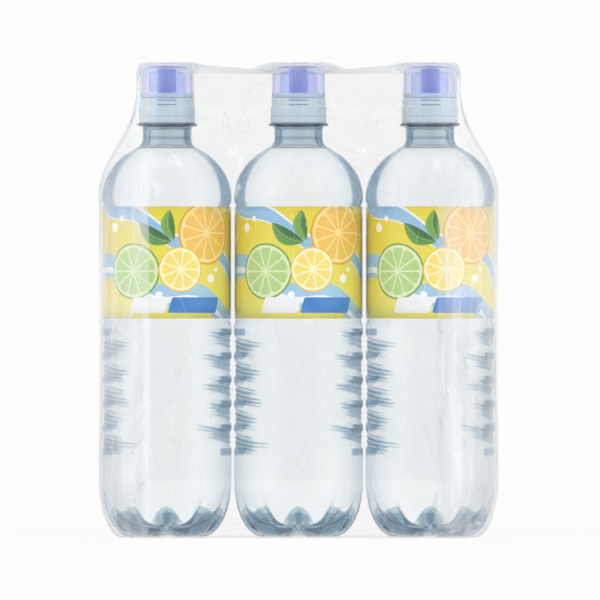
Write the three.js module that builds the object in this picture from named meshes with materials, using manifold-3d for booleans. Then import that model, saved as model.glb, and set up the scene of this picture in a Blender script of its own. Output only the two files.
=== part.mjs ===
// A shrink-wrapped six-pack of 0.75 litre flavoured water bottles, in millimetres, +Z up.
// Three bottles stand side by side along X, in two rows along Y, and every label faces the front, -Y.
// The origin is on the ground under the middle of the pack.
import * as THREE from "three";
import Module from "manifold-3d";
import { mergeVertices } from "three/addons/utils/BufferGeometryUtils.js";

const wasm = await Module();
wasm.setup();

// Pack
const COLUMNS = ["left", "middle", "right"];
const ROWS = ["front", "back"];
const PITCH = 72.6; // from one bottle's axis to the next
const FIT_GAP = 0.3; // between pieces that rest on or in each other
const FILM_WALL = 0.5; // the real film is 0.06 thick
const STAND = FILM_WALL + FIT_GAP; // the feet stand on the film under them

// Bottle: its heights are above its own feet
const BODY_R = 35.5;
const BODY_SIDES = 15; // three to each foot
const WALL = 1.2; // the blown wall, modelled thicker than the real 0.35
const FEET = 5;
const BASE_TOP = 30; // the rounding down to the feet starts here
const FOOT_R = 20; // outer edge of the flat pads under the feet
const PUSH_UP = 5; // the middle of the base is this far off the ground
const RIB_START = 46.5;
const RIB_PITCH = 13.2;
const RIBS = 5;
const RIB_DEPTH = 1.1;
const RIB_FRONT_SHARE = 0.2; // the ribs fade out towards the front and the back
const PANEL_R = 34.5; // the label sits in a shallow recess
const PANEL_LOW = 118.5;
const PANEL_HIGH = 183;
const PANEL_EDGE = 1.2; // height of the slope at each end of the recess
const SHOULDER_Z = 186.5; // where the shoulder's arc, a quarter of an ellipse, leaves the body
const SHOULDER_WIDE = 32.9;
const SHOULDER_HIGH = 30;
const SHOULDER_RINGS = [198, 207, 213.5];
const FILL_Z = 213.1; // level of the drink
const NECK_R = 13.3;
const NECK_LOW = 220.5;
const RING_R = 16.5; // the support ring that a bottling line carries the bottle by
const RING_LOW = 226.2;
const RING_HIGH = 227.4;
const RING_BEVEL = 0.4;
const FINISH_R = 12.4; // the neck inside the cap
const MOUTH_R = 10.6;
const MOUTH_Z = 239.3;
const CAVITY_R = BODY_R - RIB_DEPTH - WALL / 2;
const CAVITY_BEND = BODY_R - CAVITY_R; // the wall measured across the shoulder
const CAVITY_FLOOR = PUSH_UP + 2 * WALL;
const CAVITY_HEEL = 10; // how far in and down the cavity's lower edge is cut
const CAVITY_DROP = 2; // its shoulder lies this much lower than the outer one
const NECK_DROP = 1; // and so does the lower end of the mouth's bore
const SLOPE_GAP = 1.5; // a gap across a slope is this many times as wide where it is measured level
const HEEL_GAP = 3; // and this many times as high at the cavity's lower edge

// Label
const LABEL_LOW = 119.9;
const LABEL_HIGH = 181.5;
const LABEL_WALL = 0.4;

// Sports cap: a screw collar, a pull-up spout and a clear dust cover over it
const CAP_SIDES = 12;
const COLLAR_R = 15.5;
const COLLAR_TOP_R = 14.9;
const COLLAR_STEP_Z = 236.7;
const COLLAR_HIGH = 241.4;
const COLLAR_PLATE = 1.6;
const COLLAR_BEVEL = 0.4;
const SPOUT_SIDES = 8;
const SPOUT_R = 5.3;
const SPOUT_FLANGE_R = 6.8;
const SPOUT_FLANGE = 1.6;
const SPOUT_HIGH = 257.4;
const SPOUT_CHAMFER = 1.2;
const COVER_R = 14.3;
const COVER_WALL = 1.2;
const COVER_ROUND = 4.2;
const COVER_HIGH = 260.2;

// Film: a sleeve shrunk round the pack, with an open eye at each end. Its reach is measured from the
// axes of the outer bottles.
const FILM_REACH = 37.6; // round the bottles' bodies
const FILM_WAIST = 0.4; // how far it comes in halfway up
const FILM_FRONT_TRIM = 0.4; // it lies this much closer at the front and the back than at the ends
const FILM_CAP_REACH = 16.8; // round the caps
const FILM_FLAT_REACH = 12.6; // edge of the flat top over a cap
const FILM_CAP_SIDE = 13; // the columns of its facets beside a cap stand this far from the cap's axis
const FILM_FOOT_REACH = 25; // edge of the flat bottom
const FILM_TUCK_Z = 34; // below this it curves in under the feet
const FILM_FLARE_LOW = 190; // from here it slopes in over the shoulders
const FILM_FLARE_HIGH = 256; // up to the caps
const FILM_FLARE_POWER = 3.2; // a higher power hugs the necks more
const FILM_TOP = STAND + COVER_HIGH + FIT_GAP + FILM_WALL;
const FILM_SAG = 5.5; // how far it dips between neighbouring caps
const TOP_INSET = 11; // a ring of its facets runs this far inside the caps' axes
const TOP_SHARE = 0.4; // and the last ring is that one drawn in to this share
const TUCK_TURNS = [90, 60, 30, 0]; // degrees
const FLARE_STEPS = [0, 0.14, 0.27, 0.42, 0.6, 0.8, 1];
const TOP_ROUND = 3.5;
const CORNER_STEPS = 4;
const EYE_SIDES = 24;
const EYE_HALF_WIDTH = 37;
const EYE_LOW = 42;
const EYE_HIGH = 172;

const mix = (a, b, t) => a + (b - a) * t;
const smooth = (t) => t * t * (3 - 2 * t);
const clamp01 = (t) => Math.min(1, Math.max(0, t));
const within = (value, limit) => Math.min(limit, Math.max(-limit, value));

// Revolves a list of rings about the vertical axis. A ring is [radius, height], or a function that gives
// them for an angle from the front.
function turned(rings, sides) {
  const at = (ring, angle) => (typeof ring === "function" ? ring(angle) : ring);
  const outline = rings.map((ring) => new THREE.Vector2(...at(ring, 0)));
  const geometry = new THREE.LatheGeometry(outline, sides);
  const position = geometry.getAttribute("position");
  for (let i = 0; i < position.count; i++) {
    const angle = (Math.floor(i / rings.length) * 2 * Math.PI) / sides;
    const [r, z] = at(rings[i % rings.length], angle);
    position.setXYZ(i, r * Math.sin(angle), -r * Math.cos(angle), z);
  }
  return geometry;
}

function plastic(color, roughness, opacity) {
  const look = new THREE.MeshStandardMaterial({ color, roughness, metalness: 0, opacity });
  look.transparent = opacity < 1;
  return look;
}

// A point of the base, from the body (along = 0) to the middle (along = 1). The valleys between the feet
// are part of a bowl, and the feet reach down to the ground.
const BASE_STEPS = [1, 0.85, 0.6, 0.4, 0.2, 0];
const FOOT_SHARE = 0.6; // this share of the way in is the foot's outer side
const PAD_SHARE = 0.25; // and this share of the rest is its flat pad

function valleyPoint(along) {
  const turn = (along * Math.PI) / 2;
  return [BODY_R * Math.cos(turn), mix(BASE_TOP, PUSH_UP, Math.sin(turn))];
}

function footPoint(along) {
  if (along <= FOOT_SHARE) {
    const turn = ((along / FOOT_SHARE) * Math.PI) / 2;
    return [mix(FOOT_R, BODY_R, Math.cos(turn)), BASE_TOP * (1 - Math.sin(turn))];
  }
  const inward = (along - FOOT_SHARE) / (1 - FOOT_SHARE);
  return [FOOT_R * (1 - inward), PUSH_UP * smooth(clamp01((inward - PAD_SHARE) / (1 - PAD_SHARE)))];
}

function baseRing(along) {
  return (angle) => {
    const [valleyR, valleyZ] = valleyPoint(along);
    const [footR, footZ] = footPoint(along);
    const centred = Math.abs(Math.sin((FEET * angle) / 2)) / Math.sin(Math.PI / 3);
    const weight = clamp01(centred);
    return [mix(valleyR, footR, weight), mix(valleyZ, footZ, weight)];
  };
}

// A groove is deep at the sides of the bottle and faint at its front and back.
function ribRing(z, depth) {
  return (angle) => {
    const sideways = Math.sin(angle) ** 2;
    return [BODY_R - depth * mix(RIB_FRONT_SHARE, 1, sideways), z];
  };
}

function shoulderR(z) {
  const rise = (z - SHOULDER_Z) / SHOULDER_HIGH;
  return BODY_R - SHOULDER_WIDE * (1 - Math.sqrt(1 - rise ** 2));
}

// The inside of the bottle from its floor up to the shoulder, drawn in by a gap for what fills it.
function cavity(gap) {
  const low = [
    [0, CAVITY_FLOOR + gap],
    [CAVITY_R - CAVITY_HEEL - SLOPE_GAP * gap, BASE_TOP - CAVITY_HEEL],
    [CAVITY_R - gap, BASE_TOP + HEEL_GAP * gap],
    [CAVITY_R - gap, SHOULDER_Z],
  ];
  const drawnIn = CAVITY_BEND + SLOPE_GAP * gap;
  const shoulder = SHOULDER_RINGS.slice(1).map((z) => [shoulderR(z) - drawnIn, z - CAVITY_DROP]);
  return [...low, ...shoulder];
}

function bottle() {
  const rings = BASE_STEPS.map(baseRing);
  for (let half = 0; half <= 2 * RIBS; half++) {
    rings.push(ribRing(RIB_START + (half * RIB_PITCH) / 2, half % 2 ? RIB_DEPTH : 0));
  }
  rings.push([BODY_R, PANEL_LOW - PANEL_EDGE], [PANEL_R, PANEL_LOW], [PANEL_R, PANEL_HIGH]);
  rings.push([BODY_R, PANEL_HIGH + PANEL_EDGE], ...SHOULDER_RINGS.map((z) => [shoulderR(z), z]));
  rings.push([NECK_R, NECK_LOW], [NECK_R, RING_LOW]);
  rings.push([RING_R, RING_LOW + RING_BEVEL], [RING_R, RING_HIGH]);
  rings.push([FINISH_R, RING_HIGH], [FINISH_R, MOUTH_Z]);
  rings.push([MOUTH_R, MOUTH_Z], [MOUTH_R, NECK_LOW - NECK_DROP]);
  return turned([...rings, ...cavity(0).reverse()], BODY_SIDES);
}

// What the bottle holds, up to its level in the neck.
function drink() {
  const surface = [[MOUTH_R + FIT_GAP, FILL_Z], [0, FILL_Z]];
  return turned([...cavity(FIT_GAP), ...surface], BODY_SIDES);
}

function label() {
  const inner = PANEL_R + FIT_GAP;
  const outer = inner + LABEL_WALL;
  const loop = [[outer, LABEL_LOW], [outer, LABEL_HIGH], [inner, LABEL_HIGH], [inner, LABEL_LOW]];
  return turned([...loop, loop[0]], BODY_SIDES);
}

function collar() {
  const low = RING_HIGH + FIT_GAP;
  const under = COLLAR_HIGH - COLLAR_PLATE;
  const skirt = (FINISH_R + FIT_GAP) / Math.cos(Math.PI / CAP_SIDES);
  const loop = [
    [COLLAR_R, low],
    [COLLAR_R, COLLAR_STEP_Z],
    [COLLAR_TOP_R, COLLAR_STEP_Z + COLLAR_BEVEL],
    [COLLAR_TOP_R, COLLAR_HIGH],
    [SPOUT_R, COLLAR_HIGH],
    [SPOUT_R, under],
    [skirt, under],
    [skirt, low],
  ];
  return turned([...loop, loop[0]], CAP_SIDES);
}

function spout() {
  const low = COLLAR_HIGH + FIT_GAP;
  return turned(
    [
      [0, low],
      [SPOUT_FLANGE_R, low],
      [SPOUT_FLANGE_R, low + SPOUT_FLANGE],
      [SPOUT_R, low + SPOUT_FLANGE],
      [SPOUT_R, SPOUT_HIGH - SPOUT_CHAMFER],
      [SPOUT_R - SPOUT_CHAMFER, SPOUT_HIGH],
      [0, SPOUT_HIGH],
    ],
    SPOUT_SIDES,
  );
}

function dustCover() {
  const low = COLLAR_HIGH + FIT_GAP;
  const under = COVER_HIGH - COVER_WALL;
  const cut = COVER_ROUND * (1 - Math.SQRT1_2);
  return turned(
    [
      [0, under],
      [COVER_R - COVER_ROUND, under],
      [COVER_R - COVER_WALL, COVER_HIGH - COVER_ROUND],
      [COVER_R - COVER_WALL, low],
      [COVER_R, low],
      [COVER_R, COVER_HIGH - COVER_ROUND],
      [COVER_R - cut, COVER_HIGH - cut],
      [COVER_R - COVER_ROUND, COVER_HIGH],
      [0, COVER_HIGH],
    ],
    CAP_SIDES,
  );
}

// The film's reach at each level from the ground up to the caps, as [reach, height].
function filmLevels() {
  const levels = [];
  for (const turn of TUCK_TURNS) {
    const t = THREE.MathUtils.degToRad(turn);
    levels.push([mix(FILM_FOOT_REACH, FILM_REACH, Math.cos(t)), FILM_TUCK_Z * (1 - Math.sin(t))]);
  }
  levels.push([FILM_REACH - FILM_WAIST, (FILM_TUCK_Z + FILM_FLARE_LOW) / 2]);
  for (const t of FLARE_STEPS) {
    const inward = Math.cos((t * Math.PI) / 2) ** FILM_FLARE_POWER;
    levels.push([mix(FILM_CAP_REACH, FILM_REACH, inward), mix(FILM_FLARE_LOW, FILM_FLARE_HIGH, t)]);
  }
  return [...levels, [FILM_FLAT_REACH + TOP_ROUND, FILM_TOP - TOP_ROUND]];
}

// Where a level runs: along the front, round the corner bottles' axes, and so on. Each station is
// [x, y, outward x, outward y] at zero reach, with one beside every cap's edge and one between the caps.
function filmStations() {
  const corner = [];
  for (let step = 0; step <= CORNER_STEPS; step++) {
    const angle = (step / CORNER_STEPS) * (Math.PI / 2);
    corner.push([PITCH, PITCH / 2, Math.sin(angle), Math.cos(angle)]);
  }
  const along = [0, FILM_CAP_SIDE, PITCH / 2, PITCH - FILM_CAP_SIDE];
  const side = along.map((x) => [x, PITCH / 2, 0, 1]);
  const end = [[PITCH, PITCH / 2 - FILM_CAP_SIDE, 1, 0], [PITCH, 0, 1, 0]];
  const mirrored = (stations, sx, sy) =>
    stations.map(([x, y, nx, ny]) => [sx * x, sy * y, sx * nx, sy * ny]);
  const quarter = [...side, ...corner, ...end];
  const right = [...mirrored(quarter, 1, -1), ...quarter.slice(0, -1).reverse()];
  const left = mirrored(right.slice(1, -1), -1, 1).reverse();
  return [...right, ...left];
}

// How far the film dips at a point between the caps.
function sag(x, y, z) {
  const inX = Math.min(PITCH, Math.abs(x));
  const inY = Math.min(PITCH / 2, Math.abs(y));
  const fromAxis = Math.hypot(Math.min(inX, PITCH - inX), PITCH / 2 - inY);
  const between = clamp01((fromAxis - FILM_FLAT_REACH) / (PITCH / 2 - FILM_FLAT_REACH));
  const high = clamp01((z - FILM_FLARE_LOW) / (FILM_FLARE_HIGH - FILM_FLARE_LOW));
  return FILM_SAG * smooth(between) * smooth(high);
}

// The space inside the film's outer face, or inside its inner face when it is drawn in by the wall.
function filmBody(drawnIn) {
  const stations = filmStations();
  const levels = filmLevels().map(([reach, z]) => [reach - drawnIn, Math.max(z, drawnIn)]);
  const top = FILM_TOP - drawnIn;
  levels.push([FILM_FLAT_REACH - drawnIn, top], [0, top]);
  levels.push([-TOP_INSET, top], [-TOP_INSET, top, TOP_SHARE]);
  const points = [];
  for (const [reach, z, share = 1] of levels) {
    const frontReach = reach > FILM_CAP_REACH ? reach - FILM_FRONT_TRIM : reach;
    const limitX = PITCH + Math.min(0, reach);
    const limitY = PITCH / 2 + Math.min(0, reach);
    for (const [x, y, nx, ny] of stations) {
      const px = share * (within(x, limitX) + nx * Math.max(0, reach));
      const py = share * (within(y, limitY) + ny * Math.max(0, frontReach));
      points.push([px, py, z - sag(px, py, z)]);
    }
  }
  const count = stations.length;
  const faces = [];
  for (let level = 0; level + 1 < levels.length; level++) {
    for (let i = 0; i < count; i++) {
      const a = level * count + i;
      const b = level * count + ((i + 1) % count);
      faces.push([a, b, b + count], [a, b + count, a + count]);
    }
  }
  const cap = (first, z, flip) => {
    const middle = points.push([0, 0, z]) - 1;
    for (let i = 0; i < count; i++) {
      const pair = [first + i, first + ((i + 1) % count)];
      faces.push(flip ? [middle, pair[1], pair[0]] : [middle, ...pair]);
    }
  };
  const last = (levels.length - 1) * count;
  cap(0, drawnIn, true);
  cap(last, top - FILM_SAG, false);
  return new wasm.Manifold(
    new wasm.Mesh({
      numProp: 3,
      vertProperties: new Float32Array(points.flat()),
      triVerts: new Uint32Array(faces.flat()),
    }),
  );
}

// An oval bar along X, through both ends of the pack, that cuts the eyes.
function eyeBar() {
  const length = 4 * PITCH;
  const bar = new THREE.CylinderGeometry(1, 1, length, EYE_SIDES);
  bar.rotateZ(Math.PI / 2).scale(1, EYE_HALF_WIDTH, (EYE_HIGH - EYE_LOW) / 2);
  bar.translate(0, 0, (EYE_LOW + EYE_HIGH) / 2);
  bar.deleteAttribute("normal");
  bar.deleteAttribute("uv");
  const merged = mergeVertices(bar, 1e-4);
  return new wasm.Manifold(
    new wasm.Mesh({
      numProp: 3,
      vertProperties: merged.getAttribute("position").array,
      triVerts: new Uint32Array(merged.index.array),
    }),
  );
}

function film() {
  const skin = filmBody(0).subtract(filmBody(FILM_WALL)).subtract(eyeBar()).getMesh();
  const geometry = new THREE.BufferGeometry();
  geometry.setAttribute("position", new THREE.BufferAttribute(skin.vertProperties, 3));
  geometry.setIndex(new THREE.BufferAttribute(skin.triVerts, 1));
  return geometry;
}

const group = new THREE.Group();
const pieces = {
  bottle: [bottle(), plastic(0xc9dce6, 0.08, 0.35)],
  drink: [drink(), plastic(0xe6f1f5, 0.02, 0.5)],
  label: [label(), plastic(0xe3d445, 0.35, 1)],
  collar: [collar(), plastic(0xc4d6e2, 0.3, 0.7)],
  spout: [spout(), plastic(0x7d84d6, 0.3, 1)],
  dust_cover: [dustCover(), plastic(0xd5d7ee, 0.1, 0.45)],
};
ROWS.forEach((row, j) => {
  COLUMNS.forEach((column, i) => {
    const place = new THREE.Group();
    place.position.set((i - 1) * PITCH, (j - 0.5) * PITCH, STAND);
    for (const [name, [geometry, look]] of Object.entries(pieces)) {
      const mesh = new THREE.Mesh(geometry, look);
      mesh.name = `${name}_${row}_${column}`;
      place.add(mesh);
    }
    group.add(place);
  });
});

const wrap = new THREE.Mesh(film(), plastic(0xeef2f4, 0.1, 0.2));
wrap.name = "film";
group.add(wrap);

export default group;
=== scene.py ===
import math

import bmesh
import bpy
import numpy as np
from mathutils import Matrix, Vector


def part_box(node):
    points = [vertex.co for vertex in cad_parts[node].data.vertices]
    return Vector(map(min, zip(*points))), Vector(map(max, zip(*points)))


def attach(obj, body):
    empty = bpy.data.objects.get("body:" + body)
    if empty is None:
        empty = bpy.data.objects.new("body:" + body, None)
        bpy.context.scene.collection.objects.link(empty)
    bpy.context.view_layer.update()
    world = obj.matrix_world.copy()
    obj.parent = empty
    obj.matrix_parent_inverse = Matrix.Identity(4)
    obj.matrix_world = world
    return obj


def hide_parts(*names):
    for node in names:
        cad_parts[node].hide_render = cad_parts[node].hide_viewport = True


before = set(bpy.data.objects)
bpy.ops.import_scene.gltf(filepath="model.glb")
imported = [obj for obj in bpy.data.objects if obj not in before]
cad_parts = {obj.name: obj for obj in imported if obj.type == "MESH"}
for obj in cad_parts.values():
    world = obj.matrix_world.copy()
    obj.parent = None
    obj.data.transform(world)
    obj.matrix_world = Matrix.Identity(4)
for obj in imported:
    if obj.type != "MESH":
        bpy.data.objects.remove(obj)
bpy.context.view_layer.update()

# The studio: a level view through a long lens, a white floor and a white surround. The surround is
# greyer to the sides, where clear plastic bends the view; with painted shade on the wall, that draws the
# bottles' edges.
MM = 0.001
CAMERA_AWAY = 10000 * MM
CAMERA_X = 0.8 * MM
CAMERA_Z = 130.9 * MM
VIEW_WIDTH = 330 * MM  # across the picture, at the front bottles' axes
SENSOR = 36
FLOOR_R = 700
FLOOR_SIDES = 96
FLOOR_Z = -0.05
FLOOR_GLOW = 0.95  # how much of the floor's white is its own glow, near the pack
FLOOR_GLOW_START = 0.3  # how far out it starts to be all glow, in radii
FLOOR_GLOW_END = 0.8
LOBES = 8  # the surround is white in this many directions
LOBE_HALF = 14  # degrees from the middle of a white field to where the grey starts
LOBE_FADE = 0.75
GREY_LEVEL = (0.1, 0.3)  # how steep a ray is where the grey starts to fade, and where it is gone
BOX_START = 20  # degrees from the viewer to where each soft box starts to show
BOX_FULL = 48
BOX_END = 115
BOX_FADE = 8
BOX_SHINE = 1.5
TOP_BOX_SHINE = 2.6  # how bright the small soft box above the viewer is
TOP_BOX_LOW = (0.915, 0.935)  # how steep a ray is where the box fades in at its lower edge
TOP_BOX_HIGH = (0.955, 0.975)
TOP_BOX_SIDE = (0.1, 0.2)
ROOM_SHINE = 0.8  # how bright the surround is as a light
MAX_BOUNCES = 40  # enough for the walls of two bottles and both layers of film


def linear(red, green, blue):
    """A colour given as on a screen, 0 to 255, as the shaders count it."""
    parts = [part / 255 for part in (red, green, blue)]
    return (*[p / 12.92 if p <= 0.04045 else ((p + 0.055) / 1.055) ** 2.4 for p in parts], 1.0)


class Nodes:
    """A node tree that is written as expressions."""

    def __init__(self, tree):
        self.tree = tree

    def node(self, kind, settings=None, sockets=None, out=0):
        """Adds a node, makes its settings, fills or links its sockets, and gives one of its outputs."""
        made = self.tree.nodes.new(kind)
        for name, value in (settings or {}).items():
            setattr(made, name, value)
        for key, value in (sockets or {}).items():
            if isinstance(value, Wire):
                self.tree.links.new(value.socket, made.inputs[key])
            else:
                made.inputs[key].default_value = value
        return Wire(self, made.outputs[out]) if len(made.outputs) else made

    def split(self, vector):
        parts = self.node("ShaderNodeSeparateXYZ", None, {0: vector})
        return parts, parts.out("Y"), parts.out("Z")

    def blend(self, share, first, second):
        """A colour between two others."""
        return self.node("ShaderNodeMix", {"data_type": "RGBA"}, {0: share, 6: first, 7: second}, 2)

    def mix(self, share, first, second):
        """A finish between two others."""
        return self.node("ShaderNodeMixShader", None, {0: share, 1: first, 2: second})

    def place(self):
        return self.node("ShaderNodeTexCoord").out("Object")

    def noise(self, place, scale, detail=2.0):
        sockets = {"Vector": place, "Scale": scale, "Detail": detail}
        return self.node("ShaderNodeTexNoise", None, sockets).out("Fac")

    def facing(self):
        """0 where the surface faces the ray, to 1 where it is seen edge-on."""
        return self.node("ShaderNodeLayerWeight", None, {"Blend": 0.5}).out("Facing")


class Wire:
    """A socket's value. Sums, products and powers on it add the tree's Math nodes."""

    def __init__(self, nodes, socket):
        self.nodes = nodes
        self.socket = socket

    def out(self, name):
        return Wire(self.nodes, self.socket.node.outputs[name])

    def math(self, operation, *others):
        values = dict(enumerate((self, *others)))
        return self.nodes.node("ShaderNodeMath", {"operation": operation}, values)

    def reflected(self, operation, other):
        return self.nodes.node("ShaderNodeMath", {"operation": operation}, {0: other, 1: self})

    def __add__(self, other):
        return self.math("ADD", other)

    def __sub__(self, other):
        return self.math("SUBTRACT", other)

    def __mul__(self, other):
        return self.math("MULTIPLY", other)

    def __truediv__(self, other):
        return self.math("DIVIDE", other)

    def __pow__(self, other):
        return self.math("POWER", other)

    def __neg__(self):
        return self.math("MULTIPLY", -1.0)

    def __abs__(self):
        return self.math("ABSOLUTE")

    def __rsub__(self, other):
        return self.reflected("SUBTRACT", other)

    def __rtruediv__(self, other):
        return self.reflected("DIVIDE", other)

    __radd__ = __add__
    __rmul__ = __mul__

    def rise(self, low, high):
        """0 below low and 1 above high, with a smooth slope between them."""
        settings = {"interpolation_type": "SMOOTHSTEP"}
        return self.nodes.node("ShaderNodeMapRange", settings, {0: self, 1: low, 2: high})

    def distance(self, other):
        """The length of the hypotenuse over this value and another."""
        return (self * self + other * other).math("SQRT")


def blank_material(name):
    """A material without nodes, and its tree."""
    finish = bpy.data.materials.new(name)
    finish.use_nodes = True
    finish.node_tree.nodes.clear()
    return finish, Nodes(finish.node_tree)


def grey(shine):
    return shine, shine, shine, 1.0


def mesh_piece(name, vertices, faces, *materials, **marks):
    """A smooth mesh object from vertices in millimetres, with a number on each vertex for each mark."""
    mesh = bpy.data.meshes.new(name)
    mesh.from_pydata([tuple(c * MM for c in vertex) for vertex in vertices], [], faces)
    mesh.update()
    for material in materials:
        mesh.materials.append(material)
    mesh.polygons.foreach_set("use_smooth", [True] * len(mesh.polygons))
    for mark, values in marks.items():
        mesh.attributes.new(mark, "FLOAT", "POINT").data.foreach_set("value", values)
    piece = bpy.data.objects.new(name, mesh)
    bpy.context.scene.collection.objects.link(piece)
    return piece


def white_floor():
    finish, n = blank_material("floor_white")
    own = n.node("ShaderNodeEmission", None, {"Color": linear(253, 253, 253)})
    lit = n.node("ShaderNodeBsdfDiffuse", None, {"Color": linear(246, 247, 248)})
    x, y, _ = n.split(n.place())
    outward = x.distance(y).rise(FLOOR_GLOW_START * FLOOR_R * MM, FLOOR_GLOW_END * FLOOR_R * MM)
    glow = outward * (1 - FLOOR_GLOW) + FLOOR_GLOW
    both = n.mix(glow, lit, own)
    n.node("ShaderNodeOutputMaterial", None, {"Surface": both})
    return finish


floor_turns = np.linspace(0, -2 * math.pi, FLOOR_SIDES + 1)[:-1]
floor_edge = [(FLOOR_R * math.sin(a), FLOOR_R * math.cos(a), FLOOR_Z) for a in floor_turns]
floor = mesh_piece("floor", floor_edge, [list(range(len(floor_edge)))], white_floor())

camera_data = bpy.data.cameras.new("camera")
camera_data.sensor_width = SENSOR
camera_data.lens = SENSOR * CAMERA_AWAY / VIEW_WIDTH
camera_data.clip_end = 2 * CAMERA_AWAY
camera = bpy.data.objects.new("camera", camera_data)
camera.location = (CAMERA_X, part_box("collar_front_middle")[0].y - CAMERA_AWAY, CAMERA_Z)
camera.rotation_euler = (math.pi / 2, 0, 0)
bpy.context.scene.collection.objects.link(camera)
bpy.context.scene.camera = camera


def white_surround():
    world = bpy.data.worlds.new("surround")
    world.use_nodes = True
    world.node_tree.nodes.clear()
    n = Nodes(world.node_tree)
    x, y, z = n.split(n.node("ShaderNodeTexCoord").out("Generated"))
    level = x.distance(y)
    field = 360 / LOBES
    heading = x.math("ARCTAN2", y) * (180 / math.pi) + field / 2
    aside = abs(heading.math("FLOORED_MODULO", field) - field / 2)
    between = aside.rise(LOBE_HALF - LOBE_FADE, LOBE_HALF + LOBE_FADE) * (1 - abs(z).rise(*GREY_LEVEL))
    through = n.blend(between, grey(1.0), linear(140, 162, 180))
    turned_away = (-y / level.math("MAXIMUM", 0.0001)).math("ARCCOSINE") * (180 / math.pi)
    beyond = turned_away.rise(BOX_END - BOX_FADE, BOX_END + BOX_FADE)
    box = turned_away.rise(BOX_START, BOX_FULL) * (1 - beyond)
    mirrored = n.blend(box, n.blend(beyond, linear(150, 155, 160), grey(1.0)), grey(BOX_SHINE))
    above = z.rise(*TOP_BOX_LOW) * (1 - z.rise(*TOP_BOX_HIGH))
    above = above * (1 - abs(x).rise(*TOP_BOX_SIDE)) * (-y).rise(*TOP_BOX_SIDE)
    mirrored = n.blend(above, mirrored, grey(TOP_BOX_SHINE))
    path = n.node("ShaderNodeLightPath")
    colour = n.blend(path.out("Is Glossy Ray"), through, mirrored)
    colour = n.blend(path.out("Is Camera Ray"), colour, linear(253, 253, 253))
    colour = n.blend(path.out("Is Diffuse Ray"), colour, grey(ROOM_SHINE))
    shine = n.node("ShaderNodeBackground", None, {"Color": colour})
    n.node("ShaderNodeOutputWorld", None, {"Surface": shine})
    return world


def soft_light(name, place, aim, width, height, power):
    """A soft box that lights the pack and isn't itself seen in or through it."""
    data = bpy.data.lights.new(name, "AREA")
    data.shape = "RECTANGLE"
    data.size = width
    data.size_y = height
    data.energy = power
    lamp = bpy.data.objects.new(name, data)
    lamp.location = place
    lamp.rotation_euler = (Vector(aim) - Vector(place)).to_track_quat("-Z", "Y").to_euler()
    lamp.visible_camera = False
    lamp.visible_transmission = False
    lamp.visible_glossy = False
    bpy.context.scene.collection.objects.link(lamp)


bpy.context.scene.world = white_surround()
soft_light("soft_front", (-0.5, -1.6, 0.9), (0, 0, 0.13), 1.2, 0.9, 9.0)
soft_light("soft_right", (1.3, -0.9, 0.7), (0, 0, 0.13), 0.8, 0.9, 5.0)
bpy.context.scene.view_settings.view_transform = "Standard"
bpy.context.scene.cycles.max_bounces = MAX_BOUNCES
bpy.context.scene.cycles.transmission_bounces = MAX_BOUNCES
bpy.context.scene.cycles.transparent_max_bounces = MAX_BOUNCES

# The bottles: blown clear PET with a moulded neck, its screw finish and support ring. Five feet, a
# band of slanted grooves and the label's recess are blown into the wall, which is thick at the neck.
BODY_R = 35.5
BASE_TOP = 30
FOOT_R = 20
PUSH_UP = 5
FEET = 5
FOOT_EDGE = 16  # degrees from the middle of a valley to where a foot is full
FOOT_SIDE = 0.6  # how much of the way from the body to the middle of the base is a foot's outer side
FOOT_PAD = 0.25  # and how much of the rest is its flat pad
RIB_START = 46.5
RIB_PITCH = 13.2
RIBS = 5
RIB_DEPTH = 1.0
RIB_SLANT = 5.6
RIB_TURNOVER = 0.35  # how far from the middle, in radii, the slant is full
RIB_FAN = 0.5  # how much more a groove's upper creases slant
GROOVE_EDGE = (0.42, 0.30)  # where a groove's flank starts and ends, in pitches from its middle
CREASE_PITCH = 0.21  # of the fine creases in a groove, in pitches
CREASE_SHARE = 0.36  # of the groove's depth
PATCH_START = (0.68, 0.72)  # how far out the painted shade on the grooves' floors starts, in radii
PATCH_END = (0.83, 0.88)
PATCH_SHARE = 0.13
CREASE_TIPS = (0.38, 0.34)  # the nearest tip to the middle, and how far the others stay back, in radii
CREASE_FADE = 0.14
TIP_STEPS = (0.618, 0.37)  # what spreads the tips from crease to crease and from groove to groove
TIP_BUNCHING = 0.6
GROOVE_MIDDLE = 0.12  # how deep a groove is in the middle of the body, as a share of its depth
LINE_START = (0.55, 0.95)  # where on a crease its line of painted shade starts, and is full
PANEL_R = 34.6
PANEL_LOW = 118.5
PANEL_HIGH = 183
SHOULDER_Z = 186.5
SHOULDER_WIDE = 32.9
SHOULDER_HIGH = 30
SHOULDER_END = 213.5
NECK_R = 13.3
NECK_LOW = 219.5
RING_R = 16.5
RING_LOW = 226.0
RING_HIGH = 227.4
FINISH_R = 12.4
MOUTH_R = 10.6
BORE_R = 12.3  # of the bore where the ring is
MOUTH_Z = 239.3
BASE_STEPS = 57
GROOVE_STEP = 0.46
WALL = 0.45
THICK_FOOT = 8.0  # the wall is blue below this height on the feet, from its thickness and from painted shade
THICK_VALLEY = 17.2  # and below this one in the valleys
THICK_FADE = 0.5
THICK_NECK = 213  # and above this one
HUMP_HIGH = 3.2  # by which that blue reaches higher up in the middle of each foot
HUMP_HALF = 15  # degrees
VALLEY_SHADE_HALF = 5.0  # degrees, of a patch of painted shade in each valley
VALLEY_SHADE_LOW = 7
VALLEY_SHADE_HIGH = 14.5
RIM_LINE = 0.6  # half as wide as the line of painted shade along the top of all that
BASE_BLUE = 0.06  # how much the blue shows, of the thicker wall and of painted shade
ARCH_BLUE = 0.58
RIM_SHADE_BLUE = 0.6
VALLEY_SHADE_BLUE = 0.95
NECK_BLUE = 0.21
CREASE_SHADE_BLUE = 0.95
RING_BLUE = 0.5
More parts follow.
